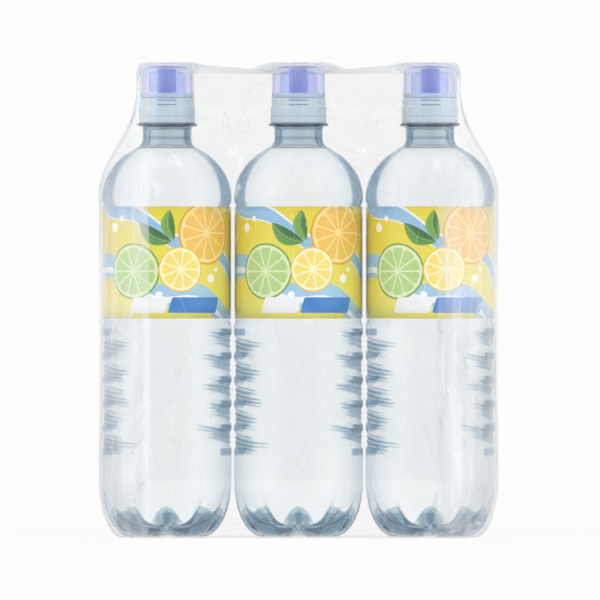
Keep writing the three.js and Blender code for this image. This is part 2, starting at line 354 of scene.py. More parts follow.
# The blue-grey along the bottles' edges is painted shade for the greyer surround seen through the
# turned-away wall, and partly the wall's own tint seen edge-on.
EDGE_SOFT = 0.34  # how much painted shade darkens the wall towards its edges everywhere
EDGE_SOFT_RISE = (0.1, 0.8)
EDGE_GROOVE = 0.1  # how much a sharp edge shows in the grooves
EDGE_BETWEEN = 1.2
EDGE_SHARP_RISE = (0.42, 0.45)  # how far the wall is turned away where that edge starts, and is full
EDGE_SHADE_BLUE = linear(154, 179, 199)
TINT_AND_SHADE_BLUE = linear(122, 166, 188)
SIDES = 96
PITCH = 72.6  # from one bottle's axis to the next


def smooth(t):
    t = np.clip(t, 0.0, 1.0)
    return t * t * (3 - 2 * t)


def foot_point(along):
    """The outer side, pad and inner slope of a foot, from the body to the middle of the base."""
    if along <= FOOT_SIDE:
        turn = along / FOOT_SIDE * math.pi / 2
        return FOOT_R + (BODY_R - FOOT_R) * math.cos(turn), BASE_TOP * (1 - math.sin(turn))
    inward = (along - FOOT_SIDE) / (1 - FOOT_SIDE)
    return FOOT_R * (1 - inward), PUSH_UP * float(smooth((inward - FOOT_PAD) / (1 - FOOT_PAD)))


def bowl_point(along):
    """The bowl that the valleys between the feet are part of."""
    turn = along * math.pi / 2
    return BODY_R * math.cos(turn), BASE_TOP + (PUSH_UP - BASE_TOP) * math.sin(turn)


def bottle_outline():
    """Rings from the middle of the base up to the mouth, as (radius, height, foot radius, foot height)."""
    rings = []
    for along in np.linspace(1, 0, BASE_STEPS):
        rings.append((*bowl_point(along), *foot_point(along)))

    def straight(points):
        rings.extend((r, z, r, z) for r, z in points)

    straight((BODY_R, z) for z in np.linspace(BASE_TOP, RIB_START - 0.5, 14)[1:])
    straight((BODY_R, z) for z in np.arange(RIB_START, RIB_START + RIBS * RIB_PITCH + 3, GROOVE_STEP))
    straight([(BODY_R, PANEL_LOW - 2.6), (BODY_R - 0.1, PANEL_LOW - 1.9), (BODY_R - 0.4, PANEL_LOW - 1.0)])
    straight([(PANEL_R + 0.1, PANEL_LOW - 0.2), (PANEL_R, PANEL_LOW + 0.4)])
    straight((PANEL_R, z) for z in np.linspace(PANEL_LOW + 1, PANEL_HIGH - 1, 8))
    straight([(PANEL_R, PANEL_HIGH - 0.4), (PANEL_R + 0.1, PANEL_HIGH + 0.2)])
    straight([(BODY_R - 0.3, PANEL_HIGH + 1), (BODY_R - 0.08, PANEL_HIGH + 1.7)])
    straight([(BODY_R, PANEL_HIGH + 2.4)])
    for z in np.linspace(SHOULDER_Z, SHOULDER_END, 34):
        lean = (z - SHOULDER_Z) / SHOULDER_HIGH
        straight([(BODY_R - SHOULDER_WIDE * (1 - math.sqrt(1 - lean * lean)), z)])
    end_r, end_z = rings[-1][:2]
    for t in np.linspace(0, 1, 9)[1:]:
        bend = ((1 - t) ** 2, 2 * t * (1 - t), t * t)
        straight([(bend[0] * end_r + (bend[1] + bend[2]) * NECK_R,
                   bend[0] * end_z + bend[1] * (end_z + 2.2) + bend[2] * NECK_LOW)])
    straight([(NECK_R - 0.25, NECK_LOW + 0.35), (NECK_R, NECK_LOW + 0.8)])
    straight((NECK_R, z) for z in np.linspace(NECK_LOW + 2, RING_LOW - 0.8, 4))
    straight([(NECK_R + 0.25, RING_LOW - 0.2), (NECK_R + 1.2, RING_LOW + 0.2)])
    straight([(RING_R - 0.3, RING_LOW + 0.6)])
    straight([(RING_R, RING_LOW + 0.9), (RING_R - 0.1, RING_HIGH - 0.1), (RING_R - 0.5, RING_HIGH)])
    straight([(FINISH_R + 0.3, RING_HIGH), (FINISH_R, RING_HIGH + 0.3)])
    straight((FINISH_R, z) for z in np.linspace(RING_HIGH + 1, MOUTH_Z - 1, 8))
    straight([(FINISH_R - 0.1, MOUTH_Z - 0.2), (FINISH_R - 0.4, MOUTH_Z)])
    return rings


def skin(loops, sides):
    """Faces between loops of vertices that follow each other, where a loop of one vertex closes a pole."""
    faces = []
    for low, high in zip(loops, loops[1:]):
        for i in range(sides):
            j = (i + 1) % sides
            corners = low[i % len(low)], low[j % len(low)], high[j % len(high)], high[i % len(high)]
            corners = list(dict.fromkeys(corners))
            if len(corners) > 2:
                faces.append(corners)
    return faces


def ring(radius, height, sides):
    """Points round the vertical axis, from the front, or the one point on it."""
    if radius < 1e-6:
        return [(0.0, 0.0, height)]
    angles = np.arange(sides) * 2 * np.pi / sides
    return [(radius * math.sin(a), -radius * math.cos(a), height) for a in angles]


def add_rings(points, loops, outline, sides):
    """Adds a ring of points, and its loop, for each (radius, height) of an outline."""
    for radius, height in outline:
        more = ring(radius, height, sides)
        loops.append(list(range(len(points), len(points) + len(more))))
        points.extend(more)


def turned(outline, sides, looped=False):
    """An outline of (radius, height), going up its outside, turned about the vertical axis."""
    points, loops = [], []
    add_rings(points, loops, outline, sides)
    return points, skin(loops + loops[:1] if looped else loops, sides)


DETAIL_INPUTS = {"Groove Start": RIB_START, "Groove Pitch": RIB_PITCH, "Groove Count": float(RIBS),
                 "Groove Depth": RIB_DEPTH, "Groove Slant": RIB_SLANT, "Feet": float(FEET),
                 "Foot Edge": float(FOOT_EDGE)}


def blown_detail():
    """The node tree that presses the grooves into a turned bottle and pulls its feet down."""
    tree = bpy.data.node_groups.new("grooves and feet", "GeometryNodeTree")
    tree.interface.new_socket("Geometry", in_out="INPUT", socket_type="NodeSocketGeometry")
    for name in DETAIL_INPUTS:
        tree.interface.new_socket(name, in_out="INPUT", socket_type="NodeSocketFloat")
    tree.interface.new_socket("Geometry", in_out="OUTPUT", socket_type="NodeSocketGeometry")
    n = Nodes(tree)
    given = n.node("NodeGroupInput")
    stored = {
        name: n.node("GeometryNodeInputNamedAttribute", {"data_type": "FLOAT"}, {"Name": name})
        for name in ("turn", "foot_r", "foot_z")
    }
    turn = stored["turn"]
    x, y, z = n.split(n.node("GeometryNodeInputPosition"))
    radius = x.distance(y)
    millimetres = z * (1 / MM)
    slanted = (turn.math("SINE") / RIB_TURNOVER).math("MAXIMUM", -1.0).math("MINIMUM", 1.0)
    slanted = slanted * abs(turn.math("COSINE")) * given.out("Groove Slant")
    within = ((millimetres - given.out("Groove Start")) / given.out("Groove Pitch")).math("FRACT") - 0.5
    path = millimetres - slanted * (within * RIB_FAN + 1)
    step = (path - given.out("Groove Start")) / given.out("Groove Pitch")
    among = step.math("GREATER_THAN", 0.0) * step.math("LESS_THAN", given.out("Groove Count"))
    across = step.math("FRACT") - 0.5
    groove = abs(across).rise(*GROOVE_EDGE) * among
    crease = (across / CREASE_PITCH + 0.5).math("FLOOR")
    back = (crease * TIP_STEPS[0] + step.math("FLOOR") * TIP_STEPS[1]).math("FRACT") ** TIP_BUNCHING
    aside = abs(turn.math("SINE"))
    reached = (aside - CREASE_TIPS[0] - back * CREASE_TIPS[1]).rise(0.0, CREASE_FADE)
    ridges = (1 + (across * (2 * math.pi / CREASE_PITCH)).math("COSINE")) * 0.5 * groove * reached
    full = aside.rise(0.1, 0.95) * (1 - GROOVE_MIDDLE) + GROOVE_MIDDLE
    depth = (groove * (1 - CREASE_SHARE) * full + ridges * CREASE_SHARE) * given.out("Groove Depth") * MM
    gap = 360 / given.out("Feet")
    degrees = turn * (180 / math.pi) + gap * 0.5
    from_valley = abs(degrees.math("FLOORED_MODULO", gap) - gap * 0.5)
    foot = (from_valley / given.out("Foot Edge")).rise(0.0, 1.0)
    new_r = radius + (stored["foot_r"] - radius) * foot - depth
    new_z = z + (stored["foot_z"] - z) * foot
    place = n.node("ShaderNodeCombineXYZ", None,
                   {0: new_r * turn.math("SINE"), 1: -(new_r * turn.math("COSINE")), 2: new_z})
    # Dark lines along the creases and patches on the grooves' floors are painted shade, stored in the
    # crease mark.
    lines = ridges.rise(*LINE_START) * (aside.rise(0.45, 0.85) * 0.6 + 0.4)
    patches = aside.rise(*PATCH_START) * (1 - aside.rise(*PATCH_END)) * groove * PATCH_SHARE
    marked = n.node("GeometryNodeStoreNamedAttribute", {"data_type": "FLOAT", "domain": "POINT"}, {
        "Geometry": given.out("Geometry"), "Name": "crease", "Value": lines.math("MAXIMUM", patches)})
    shaped = n.node("GeometryNodeSetPosition", None, {"Geometry": marked, "Position": place})
    real = n.node("GeometryNodeRealizeInstances", None, {"Geometry": shaped})
    finished = n.node("GeometryNodeSetMaterial", None, {"Geometry": real, "Material": clear_pet})
    n.node("NodeGroupOutput", None, {"Geometry": finished})
    return tree


def plain_mesh(piece):
    """The evaluated mesh of a piece, with the piece itself then removed."""
    seen = piece.evaluated_get(bpy.context.evaluated_depsgraph_get())
    mesh = bpy.data.meshes.new_from_object(seen)
    bpy.data.objects.remove(piece)
    return mesh


def points_of(mesh):
    points = np.empty(len(mesh.vertices) * 3)
    mesh.vertices.foreach_get("co", points)
    return points.reshape(-1, 3) / MM


def principled(name, constants):
    """A material with its constant values on the shader's own sockets, its tree and the shader."""
    finish, n = blank_material(name)
    shader = n.node("ShaderNodeBsdfPrincipled", None, constants)
    n.node("ShaderNodeOutputMaterial", None, {"Surface": shader})
    return finish, n, shader.socket.node


def feed(n, shader, key, wire):
    n.tree.links.new(wire.socket, shader.inputs[key])


def local_place(n):
    """Where a point is from its own bottle's axis, and its height, all in millimetres."""
    x, y, z = n.split(n.place())
    across = (x / MM + PITCH / 2).math("FLOORED_MODULO", PITCH) - PITCH / 2
    deep = (y / MM).math("FLOORED_MODULO", PITCH) - PITCH / 2
    return across, deep, z / MM


def base_tint_and_shade(n):
    """How blue the base is, from 0 to 1: its thicker wall under the feet and in the valleys, and painted
    shade in the valleys and along their rims.
    """
    x, y, z = local_place(n)
    gap = 360 / FEET
    degrees = x.math("ARCTAN2", -y) * (180 / math.pi) + gap / 2
    from_valley = abs(degrees.math("FLOORED_MODULO", gap) - gap / 2)
    valley = 1 - (from_valley / FOOT_EDGE).math("MINIMUM", 1.0) ** 2
    hump = from_valley.rise(gap / 2 - HUMP_HALF, gap / 2)
    top = valley * (THICK_VALLEY - THICK_FOOT) + hump * HUMP_HIGH + THICK_FOOT
    base = (top - z).rise(0.0, THICK_FADE)
    # The valleys' blue is partly their thicker wall and partly painted shade; the rim line and the valley
    # patches are painted shade.
    arch = base * valley.rise(0.0, 0.67) * ARCH_BLUE
    line = (1 - abs(z - top).rise(0.0, RIM_LINE)) * RIM_SHADE_BLUE
    valley_shade = (1 - from_valley.rise(VALLEY_SHADE_HALF - 0.3, VALLEY_SHADE_HALF + 0.3)) * z.rise(VALLEY_SHADE_LOW, VALLEY_SHADE_LOW + 0.5)
    valley_shade = valley_shade * (1 - z.rise(VALLEY_SHADE_HIGH - 0.5, VALLEY_SHADE_HIGH)) * VALLEY_SHADE_BLUE
    return (base * BASE_BLUE).math("MAXIMUM", arch).math("MAXIMUM", line).math("MAXIMUM", valley_shade)


def pet_finish():
    finish, n, shader = principled("clear_pet", {
        "Roughness": 0.0, "IOR": 1.2, "Transmission Weight": 1.0,
    })
    slope = n.node("ShaderNodeNewGeometry").out("Normal")
    level = n.node("ShaderNodeVectorMath", {"operation": "MULTIPLY"}, {0: slope, 1: (1.0, 1.0, 0.0)})
    level = n.node("ShaderNodeVectorMath", {"operation": "NORMALIZE"}, {0: level})
    aside = n.node("ShaderNodeLayerWeight", None, {"Blend": 0.5, "Normal": level}).out("Facing")
    facing = n.facing()
    thick = n.node("ShaderNodeAttribute", {"attribute_name": "thick"}).out("Fac")
    turned_away = aside.math("MINIMUM", facing)
    # Painted shade: the wall turns blue-grey where it is turned away from the view.
    sharp = n.node("ShaderNodeAttribute", {"attribute_name": "edge"}).out("Fac")
    sharp = turned_away.rise(*EDGE_SHARP_RISE) * sharp
    edge = sharp.math("MAXIMUM", turned_away.rise(*EDGE_SOFT_RISE) * EDGE_SOFT)
    colour = n.blend(edge, grey(1.0), EDGE_SHADE_BLUE)
    # This multiply adds the blue of the thicker wall and the painted shade in the creases, on the ring and
    # on the base.
    colour = n.node("ShaderNodeMix", {"data_type": "RGBA", "blend_type": "MULTIPLY"},
                    {0: thick.math("MAXIMUM", base_tint_and_shade(n)), 6: colour, 7: TINT_AND_SHADE_BLUE}, 2)
    feed(n, shader, "Base Color", colour)
    return finish


clear_pet = pet_finish()


def bottle_surface():
    """The outer face of one bottle, as its rings of points in millimetres."""
    outline = bottle_outline()
    vertices, faces = turned([row[:2] for row in outline], SIDES)
    angles = np.arange(SIDES) * 2 * np.pi / SIDES
    turn = np.concatenate([[0.0], np.tile(angles, len(outline) - 1)])
    foot_r, foot_z = (
        np.concatenate([[outline[0][k]], np.repeat([row[k] for row in outline[1:]], SIDES)]) * MM
        for k in (2, 3)
    )
    piece = mesh_piece("bottle_face", vertices, faces, turn=turn, foot_r=foot_r, foot_z=foot_z)
    detail = piece.modifiers.new("grooves and feet", "NODES")
    detail.node_group = blown_detail()
    for socket in detail.node_group.interface.items_tree:
        if socket.in_out == "INPUT" and socket.name in DETAIL_INPUTS:
            detail[socket.identifier] = DETAIL_INPUTS[socket.name]
    mesh = plain_mesh(piece)
    points = points_of(mesh)
    normals = np.array([vertex.normal for vertex in mesh.vertices])
    creased = np.empty(len(points))
    mesh.attributes["crease"].data.foreach_get("value", creased)
    bpy.data.meshes.remove(mesh)
    return points, normals, creased


def rings_of(first, count, sides):
    return [list(range(first + k * sides, first + (k + 1) * sides)) for k in range(count)]


outer_points, outer_normals, outer_creases = bottle_surface()
outer_loops = [[0]] + rings_of(1, (len(outer_points) - 1) // SIDES, SIDES)
wall_top = max(k for k, loop in enumerate(outer_loops) if outer_points[loop[0]][2] < RING_LOW - 0.5)


def bottle_wall():
    """The blown wall: the outer face, an inner face that follows it, and the bore of the neck."""
    points = [tuple(p) for p in outer_points]
    loops = list(outer_loops)
    inner_count = wall_top * SIDES + 1
    inner_loops = [[len(points)]] + rings_of(len(points) + 1, wall_top, SIDES)
    points.extend(tuple(p) for p in outer_points[:inner_count] - outer_normals[:inner_count] * WALL)
    bore = [(MOUTH_R + 0.3, MOUTH_Z), (MOUTH_R, MOUTH_Z - 0.3), (MOUTH_R, RING_HIGH + 2)]
    add_rings(points, loops, bore + [(BORE_R, RING_HIGH - 0.3)], SIDES)
    return points, skin(loops + inner_loops[::-1], SIDES)


def tint_and_shade_parts(points):
    """How blue the wall above the base is, from 0 to 1: painted shade in the creases, the thick neck, and
    the ring, partly solid plastic and partly painted shade under the collar.
    """
    z = np.array(points)[:, 2]
    crease = np.zeros(len(z))
    crease[:len(outer_creases)] = outer_creases
    inner = wall_top * SIDES + 1
    crease[len(z) - inner:] = outer_creases[:inner]
    neck = smooth((z - THICK_NECK) / 0.6)
    # The support ring's band is partly its solid plastic and partly painted shade under the collar.
    flange = smooth(2.0 - np.abs(z - (RING_LOW + RING_HIGH) / 2) / 0.5)
    seam = smooth(1.5 - np.abs(z - NECK_LOW - 0.3) / 0.5)
    amounts = [(NECK_BLUE, neck), (CREASE_SHADE_BLUE, crease), (RING_BLUE, flange), (RING_BLUE, seam)]
    return np.maximum.reduce([share * mask for share, mask in amounts])


def edge_shade_parts(points):
    """How strongly the painted shade along the wall's sharp edge shows: on the shoulder, in the grooves and
    most between them.
    """
    z = np.array(points)[:, 2]
    step = (z - RIB_START) / RIB_PITCH
    between = smooth((np.abs(np.mod(step, 1) - 0.5) - GROOVE_EDGE[1]) / (GROOVE_EDGE[0] - GROOVE_EDGE[1]))
    grooved = (step > -0.2) & (step < RIBS + 0.2)
    ribbed = grooved * (EDGE_GROOVE + (EDGE_BETWEEN - EDGE_GROOVE) * between)
    shoulder = smooth((z - PANEL_LOW) / 4)
    return ribbed * (1 - shoulder) + shoulder


def standing(mesh, name, node):
    """A copy of a mesh, stood at a node's bottle, riding there in the node's place."""
    row_column = "_".join(node.split("_")[-2:])
    low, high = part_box(f"collar_{row_column}")
    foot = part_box(f"bottle_{row_column}")[0].z
    copy = mesh.copy()
    copy.name = name
    copy.transform(Matrix.Translation(((low.x + high.x) / 2, (low.y + high.y) / 2, foot)))
    piece = bpy.data.objects.new(name, copy)
    bpy.context.scene.collection.objects.link(piece)
    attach(piece, "root")
    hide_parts(node)


def one_each(maker_name, node_name, slot, vertices, faces, *materials, before=None, **marks):
    """The same piece on all six bottles, with a last step on its mesh before it is copied."""
    model = mesh_piece("model", vertices, faces, *materials, **marks)
    mesh = model.data
    if before:
        before(mesh)
    for row in ("front", "back"):
        for column in ("left", "middle", "right"):
            place = f"{row}_{column}"
            standing(mesh, f"{maker_name}_{place}", f"{node_name}_{place}")
    bpy.data.objects.remove(model)


wall_points, wall_faces = bottle_wall()
one_each("blown_bottle", "bottle", "bottle_plastic", wall_points, wall_faces, clear_pet,
         thick=tint_and_shade_parts(wall_points), edge=edge_shade_parts(wall_points))

# The drink: clear still water up to its level in the neck. It reaches a little way into the wall, as
# water wets it, and climbs slightly round its edge.
FILL_Z = 213.1
WET = 0.3  # how far inside the outer face the water ends
MENISCUS = [(0.0, 0.7), (0.25, 0.42), (0.7, 0.175), (1.5, 0.05), (5, 0)]  # (inward, lift) of the surface


def water_body():
    top = max(k for k, loop in enumerate(outer_loops) if outer_points[loop[0]][2] < FILL_Z - 1.0)
    count = top * SIDES + 1
    points = [tuple(p) for p in outer_points[:count] - outer_normals[:count] * WET]
    loops = [[0]] + rings_of(1, top, SIDES)
    edge = np.linalg.norm(points[-1][:2])
    rim = float(np.interp(FILL_Z, [points[-1][2], points[-1][2] + 3], [edge, edge - 5.5]))
    surface = [(rim - inward, FILL_Z + lift) for inward, lift in MENISCUS]
    add_rings(points, loops, surface + [(0, FILL_Z)], SIDES)
    return points, skin(loops, SIDES)


def water_finish():
    finish, n, shader = principled("still_water", {
        "Roughness": 0.0, "IOR": 1.04, "Transmission Weight": 1.0,
    })
    swirl = n.noise(n.place(), 25.0, 1.0).rise(0.3, 0.7)
    feed(n, shader, "Base Color", n.blend(swirl, linear(249, 252, 253), linear(252, 254, 254)))
    return finish


one_each("still_water", "drink", "drink", *water_body(), water_finish())

# The labels: a printed plastic wrap that goes once round each bottle in its recess. The print is a
# plain citrus design in yellow, sky blue, green and orange, and comes twice, for the front and the back.
LABEL_R = 35.2
LABEL_WALL = 0.25
BACKING_GLOW = 0.5  # the light that comes through the thin wrap from outside
LABEL_LOW = 119.9
LABEL_HIGH = 181.5
LABEL_TALL = LABEL_HIGH - LABEL_LOW
PRINT_WIDE = math.pi * LABEL_R  # the print's width, which comes twice round the bottle
LABEL_SIDES = 144
BUBBLES = [((-33, 50), 2.6), ((-27, 55), 1.5), ((-4, 13), 2.0), ((27, 22), 2.4), ((31, 27), 1.3)]
PLATE_V = 7.4  # how far up the print the two plain plates are
PLATE_HIGH = 8.6
PLATE_CORNER = 1.0
PLATE_LEAN = 0.3


def label_wrap():
    inner = LABEL_R - LABEL_WALL
    heights = np.linspace(LABEL_LOW, LABEL_HIGH, 9)
    outline = [(LABEL_R, z) for z in heights] + [(inner, z) for z in heights[::-1]]
    return turned(outline, LABEL_SIDES, looped=True)


def lay_print(mesh):
    """The print's own map, in millimetres round and up the label, with the backing on the inner face."""
    flat = mesh.uv_layers.new(name="print")
    for face in mesh.polygons:
        corners = [mesh.vertices[k].co for k in face.vertices]
        around = [math.atan2(corner.x, -corner.y) for corner in corners]
        if max(around) - min(around) > math.pi:
            around = [a + 2 * math.pi if a < 0 else a for a in around]
        for loop, corner, a in zip(face.loop_indices, corners, around):
            flat.data[loop].uv = (a * LABEL_R, corner.z / MM - LABEL_LOW)
        middle = face.center
        if math.hypot(middle.x, middle.y) / MM < LABEL_R - LABEL_WALL / 2:
            face.material_index = 1


def inside_disc(u, v, centre, radius):
    away = (u - centre[0]).distance(v - centre[1])
    return 1 - away.rise(radius - 0.25, radius + 0.25)


def inside_plate(u, v, middle, wide):
    """A plain plate with round corners, leaning over by a share of its height."""
    x = abs(u - middle - (v - PLATE_V) * PLATE_LEAN) - (wide / 2 - PLATE_CORNER)
    y = abs(v - PLATE_V) - (PLATE_HIGH / 2 - PLATE_CORNER)
    from_core = x.math("MAXIMUM", 0.0).distance(y.math("MAXIMUM", 0.0))
    return 1 - from_core.rise(PLATE_CORNER - 0.2, PLATE_CORNER + 0.2)


def citrus_wheel(n, under, u, v, centre, radius, segments, rind, pith, flesh, juice):
    """A cut citrus fruit, seen flat on: rind, pale pith and wedges of flesh."""
    x, y = u - centre[0], v - centre[1]
    away = x.distance(y)
    around = y.math("ARCTAN2", x) * (segments / (2 * math.pi))
    half_wedge = (0.5 - abs(around.math("FRACT") - 0.5)) * (2 * math.pi / segments)
    from_skin = half_wedge * away
    rounded_off = away + (2.2 - from_skin).math("MAXIMUM", 0.0) ** 2 * 0.35
    wedge = from_skin.rise(0.25, 0.6) * (1 - rounded_off.rise(radius * 0.84 - 0.3, radius * 0.84 + 0.2))
    wedge = wedge * away.rise(radius * 0.05, radius * 0.12)
    grain = n.node("ShaderNodeCombineXYZ", None, {0: around * 5.0, 1: away * 0.35, 2: 0.0})
    meat = n.blend(n.noise(grain, 2.2, 3.0).rise(0.3, 0.7), flesh, juice)
    cut = n.blend(wedge, pith, meat)
    skinned = n.blend(away.rise(radius * 0.93 - 0.2, radius * 0.93 + 0.2), cut, rind)
    return n.blend(1 - away.rise(radius - 0.25, radius + 0.15), under, skinned)


def leaf(n, under, u, v, stem, angle, length, width, dark, light):
    """A pointed leaf with a midrib and side veins."""
    x, y = u - stem[0], v - stem[1]
    along = (x * math.cos(angle) + y * math.sin(angle)) / length
    across = y * math.cos(angle) - x * math.sin(angle) - (along * math.pi).math("SINE") * (0.12 * length)
    half = (along.math("MAXIMUM", 0.0).math("MINIMUM", 1.0) * math.pi).math("SINE") ** 0.75 * (width / 2)
    blade = (half - abs(across)).rise(-0.05, 0.35)
    rib = 1 - (abs(across) - 0.15).rise(0.0, 0.25)
    vein = ((along * 7 - abs(across) * (3.5 / width)).math("FRACT") - 0.5).math("ABSOLUTE").rise(0.36, 0.5)
    tone = n.blend((across / width + 0.5).rise(0.2, 0.8), dark, light)
    tone = n.blend((rib * 0.6).math("MAXIMUM", vein * 0.25), tone, linear(170, 200, 110))
    return n.blend(blade, under, tone)


def print_finish():
    finish, n, shader = principled("citrus_print", {
        "Roughness": 0.3, "IOR": 1.45, "Coat Weight": 0.35, "Coat Roughness": 0.08,
    })
    round_label, v, _ = n.split(n.node("ShaderNodeUVMap", {"uv_map": "print"}))
    u = (round_label + PRINT_WIDE / 2).math("FLOORED_MODULO", PRINT_WIDE) - PRINT_WIDE / 2
    wave = (u * 0.11).math("SINE")
    upward = (v / LABEL_TALL + wave * 0.1).rise(0.0, 1.0)
    colour = n.blend(upward, linear(238, 226, 96), linear(232, 214, 38))
    swell = v - 47 + u * 0.42 + (u * 0.13 + 0.6).math("SINE") * 3.0
    colour = n.blend(1 - abs(swell).rise(4.6, 5.1), colour, linear(247, 247, 240))
    colour = n.blend(1 - abs(swell + 0.4).rise(3.6, 4.0), colour, linear(146, 192, 228))
    trough = v - 15 + u * 0.3 + (u * 0.12 + 2.4).math("SINE") * 3.4
    colour = n.blend(1 - abs(trough).rise(6.2, 6.8), colour, linear(160, 203, 232))
    colour = n.blend(1 - abs(trough + 2.4).rise(1.4, 1.9), colour, linear(244, 246, 246))
    colour = citrus_wheel(n, colour, u, v, (24, 47), 17.5, 11, linear(228, 160, 34), linear(250, 226, 140),
                          linear(238, 178, 52), linear(246, 205, 96))
    colour = leaf(n, colour, u, v, (3, 42), math.radians(150), 21, 9,
                  linear(40, 104, 42), linear(92, 152, 62))
    colour = leaf(n, colour, u, v, (4, 43), math.radians(98), 17, 8,
                  linear(52, 122, 46), linear(120, 172, 72))
    colour = citrus_wheel(n, colour, u, v, (-19, 26), 15.5, 10, linear(112, 164, 62), linear(226, 238, 190),
                          linear(164, 204, 112), linear(196, 222, 150))
    colour = citrus_wheel(n, colour, u, v, (8, 27), 12.5, 9, linear(236, 196, 36), linear(252, 246, 206),
                          linear(244, 216, 84), linear(250, 232, 134))
    for centre, radius in BUBBLES:
        colour = n.blend(inside_disc(u, v, centre, radius), colour, linear(250, 251, 250))
    colour = n.blend(inside_plate(u, v, 17, 30), colour, linear(38, 128, 205))
    colour = n.blend(inside_plate(u, v, -10, 21), colour, linear(240, 241, 243))
    feed(n, shader, "Base Color", colour)
    film_grain = n.noise(n.place(), 160.0)
    feed(n, shader, "Roughness", film_grain * 0.12 + 0.24)
    feed(n, shader, "Normal", n.node("ShaderNodeBump", None, {
        "Strength": 0.05, "Distance": 0.0002, "Height": film_grain}))
    return finish


def backing_finish():
    finish, n, shader = principled("label_backing", {
        "Roughness": 0.5, "Emission Color": linear(236, 240, 240), "Emission Strength": BACKING_GLOW,
    })
    speck = n.noise(n.place(), 400.0)
    feed(n, shader, "Base Color", n.blend(speck, linear(238, 238, 236), linear(246, 246, 244)))
    return finish


one_each("wrap_label", "label", "label", *label_wrap(), print_finish(), backing_finish(), before=lay_print)

# The collars: pale, milky polypropylene, moulded in one with the tamper band that tears off its foot.
COLLAR_R = 15.4
COLLAR_TOP_R = 14.9
COLLAR_LOW = 227.7
COLLAR_STEP_Z = 236.7
COLLAR_HIGH = 241.4
SLOT_HEIGHTS = (238.3, 240.9)  # two short lines, front and back
SLOT_HALF = 5.4


def softened(corners, steps=4):
    """An outline with some corners rounded: each is (radius, height) or (radius, height, rounding)."""
    outline = []
    count = len(corners)
    for k, corner in enumerate(corners):
        here = np.array(corner[:2])
        if len(corner) < 3:
            outline.append(tuple(here))
            continue
        before = np.array(corners[k - 1][:2]) - here
        after = np.array(corners[(k + 1) % count][:2]) - here
        start = here + before / np.linalg.norm(before) * corner[2]
        end = here + after / np.linalg.norm(after) * corner[2]
        for t in np.linspace(0, 1, steps + 1):
            outline.append(tuple((1 - t) ** 2 * start + 2 * t * (1 - t) * here + t * t * end))
    return outline


def collar_outline():
    return softened([
        (COLLAR_R, COLLAR_LOW, 0.3),
        (COLLAR_R, 230.6, 0.2),
        (COLLAR_R - 0.35, 230.8, 0.1),
        (COLLAR_R - 0.35, 231.1, 0.1),
        (COLLAR_R, 231.3, 0.2),
        (COLLAR_R, COLLAR_STEP_Z, 0.4),
        (COLLAR_TOP_R, COLLAR_STEP_Z + 0.5, 0.3),
        (COLLAR_TOP_R, COLLAR_HIGH, 0.4),
        (7.2, COLLAR_HIGH, 0.2),
        (7.2, 239.9, 0.2),
        (13.0, 239.9, 0.5),
        (13.0, COLLAR_LOW, 0.2),
    ])


def collar_finish():
    finish, n, shader = principled("milky_pp", {
        "IOR": 1.5, "Transmission Weight": 0.3,
    })
    x, y, z = local_place(n)
    flow = n.node("ShaderNodeCombineXYZ", None, {0: x, 1: y, 2: z * 0.12})
    cloud = n.noise(flow, 0.13)
    colour = n.blend(cloud.rise(0.35, 0.65), linear(218, 236, 250), linear(238, 247, 253))
    short = 1 - abs(x).rise(SLOT_HALF - 0.4, SLOT_HALF + 0.4)
    for height in SLOT_HEIGHTS:
        line = (1 - abs(z - height).rise(0.15, 0.4)) * short
        colour = n.blend(line, colour, linear(128, 146, 178))
    feed(n, shader, "Base Color", colour)
    feed(n, shader, "Roughness", cloud * 0.1 + 0.15)
    return finish


one_each("screw_collar", "collar", "collar_plastic", *turned(collar_outline(), SIDES, looped=True),
         collar_finish())

# The spouts: violet pull-up spouts, moulded in solid colour, with a flange that rests on the collar.
SPOUT_R = 5.3
SPOUT_FLANGE_R = 6.8
SPOUT_HIGH = 258.0
SPOUT_SIDES = 64
HIGHLIGHT_X = -1.2  # of a thin painted highlight up the spout, a reflection of light in the cover
HIGHLIGHT_LOW = (245.0, 246.0)
HIGHLIGHT_HIGH = (255.0, 256.5)


def spout_outline():
    return softened([
        (0, 241.7),
        (SPOUT_FLANGE_R, 241.7, 0.2),
        (SPOUT_FLANGE_R, 243.3, 0.4),
        (SPOUT_R, 244.2, 0.5),
        (SPOUT_R, SPOUT_HIGH, 1.2),
        (3.0, SPOUT_HIGH, 0.4),
        (2.4, 254.0, 0.4),
        (0, 254.0),
    ])


def spout_finish():
    # The spout's faint violet glow is painted light, brightening it inside the cover.
    finish, n, shader = principled("violet_pp", {
        "Roughness": 0.3, "IOR": 1.49, "Emission Color": linear(120, 135, 238), "Emission Strength": 0.16,
    })
    x, y, z = local_place(n)
    flow = n.node("ShaderNodeCombineXYZ", None, {0: x, 1: y, 2: z * 0.3})
    colour = n.blend(n.noise(flow, 0.2).rise(0.35, 0.65), linear(178, 186, 246), linear(196, 206, 250))
    # A thin lighter line up the spout is a painted highlight.
    highlight = (1 - abs(x - HIGHLIGHT_X).rise(0.1, 0.4)) * z.rise(*HIGHLIGHT_LOW) * (1 - z.rise(*HIGHLIGHT_HIGH))
    colour = n.blend(highlight, colour, linear(206, 212, 242))
    feed(n, shader, "Base Color", colour)
    return finish


one_each("pull_spout", "spout", "spout_plastic", *turned(spout_outline(), SPOUT_SIDES), spout_finish())

# The dust covers: clear domed covers with a faint lavender tint, snapped over the spouts.
COVER_R = 14.3
COVER_LOW_R = 14.75
COVER_WALL = 0.9
COVER_HIGH = 260.2
COVER_SKIRT = (244.2, 245.2)  # where the milky skirt at its foot starts to clear, and is clear
SKIRT_MILK = 0.75


